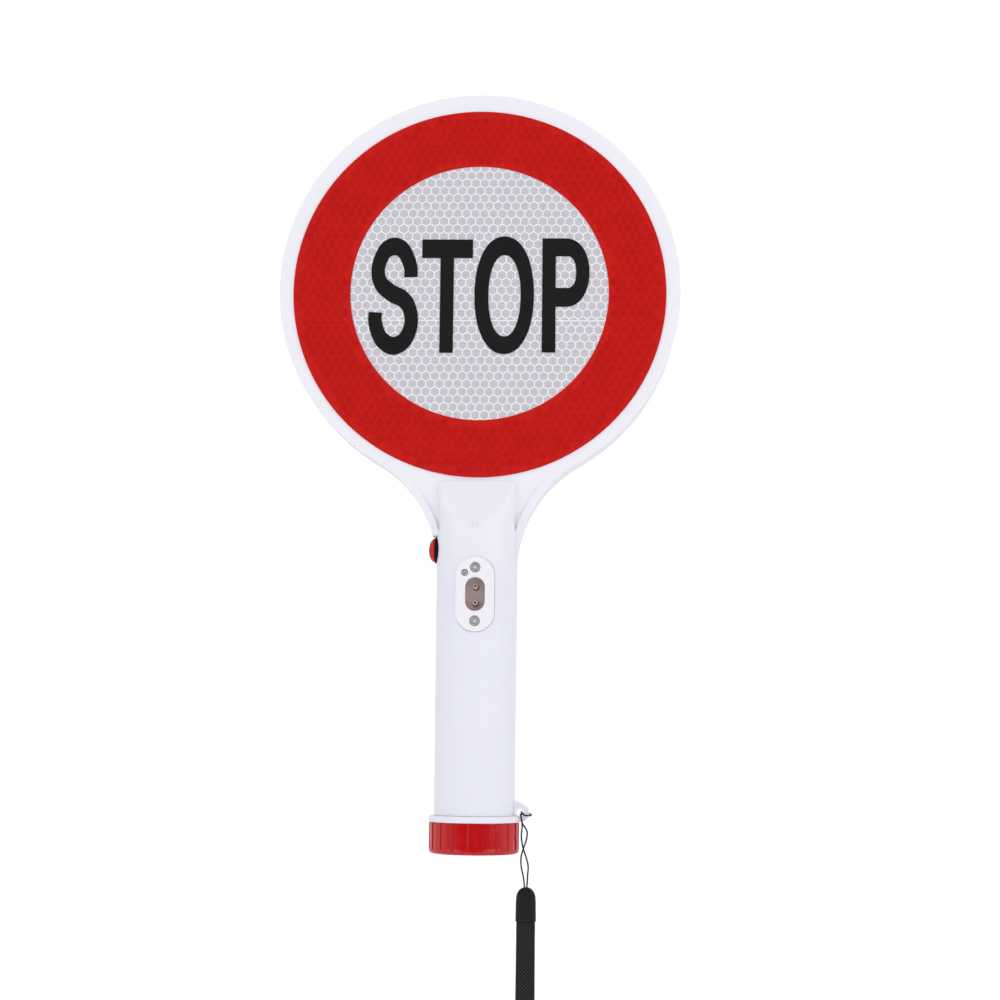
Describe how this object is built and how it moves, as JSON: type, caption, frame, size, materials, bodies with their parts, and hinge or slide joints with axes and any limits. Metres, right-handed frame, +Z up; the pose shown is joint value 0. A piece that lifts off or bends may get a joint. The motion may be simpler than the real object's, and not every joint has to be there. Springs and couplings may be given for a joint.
{
  "type": "stop slow paddle",
  "caption": "Round illuminated stop paddle on a hollow battery grip, with a side push button, a charging inlet, a screw end cap and a wrist strap.",
  "frame": {"origin": "on the grip's axis, at the middle of the hand's hold, where the paddle is held upright", "axes": "+Z up the grip to the head, -Y out of the front face, +X to the right as the front face is seen"},
  "size_m": [0.185, 0.0532, 0.5056],
  "materials": {
    "white_plastic": "satin, slightly translucent",
    "plate_plastic": "satin",
    "prismatic_sheeting": "honeycomb, semi-gloss",
    "red_film": "semi-gloss",
    "black_film": "matte",
    "red_plastic": "glossy",
    "button_plastic": "glossy",
    "black_plastic": "matte",
    "socket_plastic": "matte",
    "steel": "plated",
    "brass": "plain",
    "circuit_board": "matte",
    "seal_rubber": "matte",
    "cell_wrap": "shrink wrap",
    "led_lens": "clear epoxy",
    "strap_fabric": "woven",
    "red_wire": "insulation",
    "black_wire": "insulation",
    "capacitor_case": "dipped"
  },
  "bodies": {
    "root": {"front_shell": "white_plastic", "rear_shell": "white_plastic", "handle_collar": "white_plastic", "inlet_plate": "plate_plastic", "front_sheeting": "prismatic_sheeting", "rear_sheeting": "prismatic_sheeting", "front_red_band": "red_film", "rear_red_band": "red_film", "front_letter_s": "black_film", "front_letter_t": "black_film", "front_letter_o": "black_film", "front_letter_p": "black_film", "rear_letter_s": "black_film", "rear_letter_t": "black_film", "rear_letter_o": "black_film", "rear_letter_p": "black_film", "switch_bezel": "black_plastic", "switch_body": "black_plastic", "battery_cradle": "black_plastic", "inlet_body": "socket_plastic", "inlet_screw_upper": "steel", "inlet_screw_lower": "steel", "inlet_pin_upper": "steel", "inlet_pin_lower": "steel", "shell_screw_1": "steel", "shell_screw_2": "steel", "shell_screw_3": "steel", "shell_screw_4": "steel", "switch_terminal_upper": "brass", "switch_terminal_lower": "brass", "return_strip": "brass", "positive_contact": "brass", "led_board": "circuit_board", "charger_board": "circuit_board", "battery_cell": "cell_wrap", "charge_indicator": "led_lens", "led_1": "led_lens", "led_2": "led_lens", "led_3": "led_lens", "led_4": "led_lens", "led_5": "led_lens", "led_6": "led_lens", "led_7": "led_lens", "led_8": "led_lens", "wire_led_positive": "red_wire", "wire_battery": "red_wire", "wire_led_negative": "black_wire", "charger_capacitor": "capacitor_case"},
    "button": {"switch_button": "button_plastic"},
    "cap_carrier": {"cap_seal": "seal_rubber"},
    "cap": {"end_cap": "red_plastic", "cap_contact_plate": "brass", "battery_spring": "steel"},
    "strap": {"strap_cord": "strap_fabric", "strap_connector": "black_plastic", "strap_webbing": "strap_fabric"}
  },
  "joints": [
    {"name": "button_press", "type": "slide", "parent": "root", "child": "button", "axis": [1, 0, 0], "range_m": [0, 0.0013], "stiffness_N_per_m": 600, "springref_m": -0.001},
    {"name": "cap_travel", "type": "slide", "parent": "root", "child": "cap_carrier", "axis": [0, 0, -1], "range_m": [0, 0.014]},
    {"name": "cap_turn", "type": "hinge", "parent": "cap_carrier", "child": "cap", "pos_m": [0, 0, -0.0449], "axis": [0, 0, -1], "range_deg": [0, 1440]},
    {"name": "strap_swing", "type": "hinge", "parent": "root", "child": "strap", "pos_m": [0.02075, 0, -0.0409], "axis": [0, -1, 0], "range_deg": [0, 70]}
  ],
  "couplings": [
    {"joint": "cap_turn", "follows": "cap_travel", "rad_per_m": 1795.2}
  ]
}
